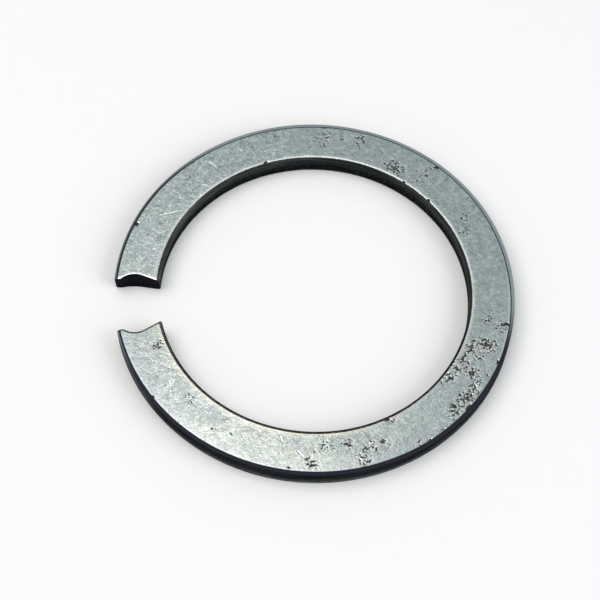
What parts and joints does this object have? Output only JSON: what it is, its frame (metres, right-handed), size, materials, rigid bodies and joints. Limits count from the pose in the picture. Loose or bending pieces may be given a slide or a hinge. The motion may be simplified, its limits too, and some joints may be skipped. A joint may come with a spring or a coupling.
{
  "type": "retaining ring",
  "caption": "Flat split retaining ring with scalloped ends, sprung over a shaft to seat in its groove.",
  "frame": {"origin": "on the bore axis, at half the thickness", "axes": "+Z along the bore axis, out of a ground face; the gap between the ends opens towards -X"},
  "size_m": [0.0597, 0.06, 0.0032],
  "materials": {
    "spring_steel": "ground faces with fine scratches and small rust pits, dark oxidised walls"
  },
  "bodies": {
    "root": {"ring": "spring_steel"}
  },
  "joints": []
}
